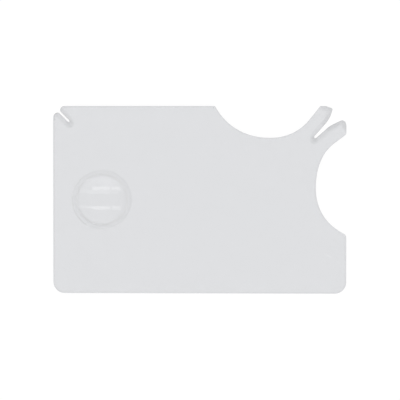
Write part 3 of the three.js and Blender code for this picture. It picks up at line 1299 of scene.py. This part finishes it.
@dataclass
class Magnifier:
    """The lens: a dome over a flat back, with a flange round the dome's foot.

    Attributes:
        finish: its plastic.
        lens: its shape.
        seat: the seat that holds it.
        play: how far its flange lies above the seat's ledge.
        dome_steps: how many rings the dome has.
        halos: the rings of painted shade towards its rim, where it is thin and bends light most.
        sharp: the angle in degrees past which its edges stay sharp.
    """

    finish: ClearPlastic
    lens: LensShape
    seat: Seat = Seat()
    play: float = 0.02
    dome_steps: int = 40
    halos: tuple[PaintedShadeRing, ...] = (
        PaintedShadeRing(start=3.0, peak=6.0, end=7.4, depth=0.013, side=290.0, bias=1.0, fold=0.5),
        PaintedShadeRing(start=6.0, peak=7.35, end=8.0, depth=0.04, side=240.0, bias=0.2),
        PaintedShadeRing(start=6.6, peak=7.3, end=8.0, depth=0.06, side=262.0, bias=0.3, fold=0.7),
        SEAT_SHADE_RING,
    )
    sharp: float = 12.0

    def profile(self) -> np.ndarray:
        """The lens's radii, heights and shares of touching.

        Returns:
            The profile from the flat back to the dome's last ring, one row a level.
        """
        lens, chamfer, blur = self.lens, self.seat.chamfer, self.seat.blur
        foot, flange, back = lens.dome_radius, lens.flange_radius, lens.back
        ledge, joined = self.seat.ledge + self.play, lens.rim_top - chamfer
        radii = foot * np.linspace(1.0, 0.0, self.dome_steps + 1)[:-1]
        heights = lens.apex - lens.fall(radii)
        outside = [
            (foot - chamfer - blur, back, 0.0), (foot - chamfer, back, 1.0),
            (foot, back + chamfer, 1.0), (foot, ledge, 1.0), (flange - chamfer, ledge, 1.0),
            (flange, ledge + chamfer, 1.0), (flange, joined - blur, 1.0), (flange, joined, 0.0),
            (flange - chamfer, lens.rim_top, 0.0),
        ]
        dome = np.stack([radii, heights, np.zeros_like(radii)], axis=-1)
        return np.concatenate([np.array(outside), dome])

    def surface(self) -> Surface:
        """The profile turned about the lens's axis, with the back and the apex closed.

        Returns:
            The lens's surface.
        """
        made = Surface()
        rings = made.add_points(Rings.turned(self.profile(), self.lens.centre, self.seat.steps))
        made.add_skin(rings)
        made.add_cap([rings[0]], up=False)
        apex = Rings(np.array([[[*self.lens.centre, self.lens.apex]]]))
        made.add_pole(rings[-1], made.add_points(apex))
        return made

    def build(self) -> bpy.types.Object:
        """Makes the lens's piece and dresses it.

        Returns:
            The piece.
        """
        finish = self.finish.material(self.lens.centre, self.halos)
        piece = self.surface().piece("magnifier_dome", self.sharp, finish)
        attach(piece, "root")
        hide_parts(Node.LENS.value)
        return piece


# The studio


@dataclass(frozen=True)
class TopView:
    """The camera above the card, a little off the upright, in the photograph's square frame.

    Attributes:
        side: the frame's side, in pixels.
        middle: where the card's middle shows, in pixels from the top left.
        card_length: the card's length in the frame, in pixels.
        distance: how far the camera is from the card's upper face, in millimetres.
        lean: how far it leans towards the card's upper and right edges, in degrees.
        roll: how far it is turned about its own axis, in degrees.
        sensor: the sensor's width, in millimetres.
    """

    side: float = 400.0
    middle: tuple[float, float] = (199.45, 199.78)
    card_length: float = 293.46
    distance: float = 900.0
    lean: tuple[float, float] = (1.8, 2.4)
    roll: float = 0.083
    sensor: float = 36.0

    def scale(self) -> float:
        """Millimetres on the card that one pixel covers."""
        low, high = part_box(Node.CARD.value)
        return float(high.x - low.x) / MILLIMETRE / self.card_length

    def axes(self) -> Matrix:
        """The camera's axes as columns: right, up and back.

        Returns:
            The matrix.
        """
        upper, right = (math.radians(angle) for angle in self.lean)
        return (
            Matrix.Rotation(-upper, 3, "X")
            @ Matrix.Rotation(right, 3, "Y")
            @ Matrix.Rotation(math.radians(self.roll), 3, "Z")
        )

    def ahead(self, pixel: Sequence[float]) -> Vector:
        """The way along the camera's axes to where a pixel meets the card's upper face."""
        across, down = (place - self.side / 2 for place in pixel)
        return Vector((across, -down, 0.0)) * self.scale() - Vector((0, 0, self.distance))

    def eye(self) -> Vector:
        """Where the camera stands, in millimetres, so that the card's middle shows in place."""
        height = float(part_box(Node.CARD.value)[1].z) / MILLIMETRE
        return Vector((0, 0, height)) - self.axes() @ self.ahead(self.middle)

    def ray(self, pixel: Sequence[float]) -> Vector:
        """The direction in which a pixel of the frame looks."""
        return (self.axes() @ self.ahead(pixel)).normalized()

    def build(self) -> None:
        """Makes the camera and gives it to the scene."""
        data = bpy.data.cameras.new("top_view")
        data.sensor_width = self.sensor
        data.lens = self.sensor * self.distance / (self.side * self.scale())
        camera = placed("top_view", data)
        camera.location = self.eye() * MILLIMETRE
        camera.rotation_euler = self.axes().to_euler()
        bpy.context.scene.camera = camera


@dataclass(frozen=True)
class StripLamp:
    """A strip lamp that the dome mirrors between two corners, given in pixels of the frame.

    Attributes:
        name: the lamp's name.
        left: where its mirror image starts, from the frame's left.
        right: where the image ends, from the frame's left.
        top: where the image starts, from the frame's top.
        bottom: where the image ends, from the frame's top.
        radiance: how bright it looks.
    """

    name: str
    left: float
    right: float
    top: float
    bottom: float
    radiance: float

    def build(self, view: TopView, lens: LensShape, height: float) -> None:
        """Hangs the lamp where the dome mirrors it.

        A ray d from the camera through a corner meets the level of the lens's back at a place. The
        dome's normal n there leans out by that place over the sphere's radius, and the mirrored
        ray is d - 2(d.n)n. It is followed up to the lamp's height.

        Args:
            view: the camera.
            lens: the lens whose dome mirrors the lamp.
            height: the lamp's height, in millimetres.
        """
        corners = [(self.left, self.top), (self.right, self.bottom)]
        rays = np.array([view.ray(corner) for corner in corners])
        level = np.array([*lens.centre, lens.back])
        start = np.array(view.eye()) - level
        places = start - rays * (start[2] / rays[:, 2:])
        out = places * (1, 1, 0)
        rise = np.sqrt(lens.sphere**2 - (out**2).sum(-1))
        normal = (out + rise[:, None] * (0, 0, 1)) / lens.sphere
        mirrored = rays - 2 * (rays * normal).sum(-1, keepdims=True) * normal
        ends = (level + places + mirrored * (height / mirrored[:, 2:]))[:, :2]
        middle, size = ends.mean(axis=0), np.abs(ends[1] - ends[0]) * MILLIMETRE
        data = bpy.data.lights.new(self.name, "AREA")
        data.shape = "RECTANGLE"
        data.size, data.size_y = size.tolist()
        data.energy = self.radiance * math.pi * float(size.prod())
        placed(self.name, data).location = Vector((*middle, height)) * MILLIMETRE


@dataclass(frozen=True)
class Studio:
    """A white floor under a plain sky that is brightest overhead, with the strip lamps.

    Attributes:
        floor_side: the floor's side, in millimetres.
        floor_gap: how far the floor lies below the card, so that the two faces don't meet.
        floor_colour: the floor's own colour for the light that falls on it.
        shown_share: the share of the floor that shows plain white whatever its shadows.
        shown_white: how bright that share is.
        zenith: the sky's brightness overhead.
        horizon: the sky's brightness at its foot.
        lamp_height: how high the lamps hang, in millimetres.
        bounces: how often light may turn, and how often it may pass a clear face.
        glossy_bounces: how often it may be mirrored.
        lamps: the strip lamps.
    """

    floor_side: float = 6000.0
    floor_gap: float = 0.05
    floor_colour: float = 0.85
    shown_share: float = 0.85
    shown_white: float = 1.08
    zenith: float = 1.0
    horizon: float = 0.45
    lamp_height: float = 1200.0
    bounces: int = 24
    glossy_bounces: int = 16
    lamps: tuple[StripLamp, ...] = (
        StripLamp("upper_left_strip", 92.5, 110.5, 186.6, 189.9, 2.0),
        StripLamp("upper_right_strip", 112.0, 120.5, 186.8, 190.6, 1.85),
        StripLamp("upper_left_skirt", 88.0, 110.5, 190.1, 193.7, 1.0),
        StripLamp("upper_right_skirt", 112.0, 119.0, 191.0, 194.0, 0.7),
        StripLamp("upper_end", 80.5, 87.8, 189.0, 192.6, 0.7),
        StripLamp("lower_left_strip", 92.5, 110.5, 206.0, 209.3, 2.3),
        StripLamp("lower_right_strip", 112.0, 121.5, 205.8, 209.4, 1.7),
        StripLamp("lower_near_end", 88.0, 92.2, 205.8, 208.2, 1.6),
        StripLamp("lower_end", 79.5, 87.8, 205.0, 208.2, 0.9),
    )

    def floor_material(self) -> bpy.types.Material:
        """White to the camera and in every gloss and glass, with the shadows that fall on it.

        Seen from below it lets the view through, so that the card's underside can be looked at.

        Returns:
            The material.
        """
        made = bpy.data.materials.new("white_floor")
        graph = Graph(made)
        rays = ("Is Camera Ray", "Is Glossy Ray", "Is Transmission Ray")
        seen = reduce(Number.larger, (graph.number("LightPath", ray) for ray in rays))
        matt = graph.output("BsdfDiffuse", 0, {"Color": grey(self.floor_colour)})
        glow = graph.output("Emission", 0, {"Color": grey(1.0), "Strength": self.shown_white})
        above = graph.output("MixShader", 0, {0: seen * self.shown_share, 1: matt, 2: glow})
        below = graph.output("BsdfTransparent", 0)
        turned = graph.number("NewGeometry", "Backfacing")
        both = graph.output("MixShader", 0, {0: turned, 1: above, 2: below})
        graph.node("OutputMaterial", {"Surface": both})
        return made

    def build_floor(self) -> None:
        """Lays the floor, a single square just below the card."""
        half = self.floor_side / 2 * MILLIMETRE
        corners = np.array([(-half, -half), (half, -half), (half, half), (-half, half)])
        height = np.full((4, 1), -self.floor_gap * MILLIMETRE)
        mesh = bpy.data.meshes.new("floor")
        mesh.from_pydata(np.hstack([corners, height]).tolist(), [], [(0, 1, 2, 3)])
        mesh.materials.append(self.floor_material())
        floor = placed("floor", mesh)

    def build_sky(self) -> None:
        """Makes the sky: plain white to the camera, and brightest overhead for everything else."""
        world = bpy.data.worlds.new("plain_sky")
        graph = Graph(world)
        up = graph.upright(graph.output("TexCoord", "Generated"))
        lit = self.horizon + (self.zenith - self.horizon) * up.larger(0.0)
        camera = graph.number("LightPath", "Is Camera Ray")
        strength = lit + camera * (1.0 - lit)
        sky = graph.output("Background", 0, {"Color": grey(1.0), "Strength": strength})
        graph.node("OutputWorld", {"Surface": sky})
        bpy.context.scene.world = world

    def build(self, view: TopView, lens: LensShape) -> None:
        """Makes the floor, the sky and the lamps, and sets how the picture is read.

        Args:
            view: the camera, which the lamps' places follow.
            lens: the lens that mirrors the lamps.
        """
        self.build_floor()
        self.build_sky()
        for lamp in self.lamps:
            lamp.build(view, lens, self.lamp_height)
        scene = bpy.context.scene
        scene.view_settings.view_transform = "Standard"
        scene.cycles.max_bounces = scene.cycles.transmission_bounces = self.bounces
        scene.cycles.glossy_bounces = self.glossy_bounces


def main() -> None:
    """Builds the studio and both pieces, and reports each."""
    logging.basicConfig(level=logging.INFO, format="%(name)s: %(message)s")
    lens = LensShape.from_frame()
    view = TopView()
    view.build()
    Studio().build(view, lens)
    card_finish = ClearPlastic("clear_card_plastic")
    lens_finish = ClearPlastic(
        "clear_lens_plastic", tint=(0.745, 0.752, 0.769), polish=0.015, smudge=0.03
    )
    for maker in (CardBody(card_finish, lens), Magnifier(lens_finish, lens)):
        piece = maker.build()
        log.info("%s: %d faces", piece.name, len(piece.data.polygons))


if __name__ == "__main__":
    main()
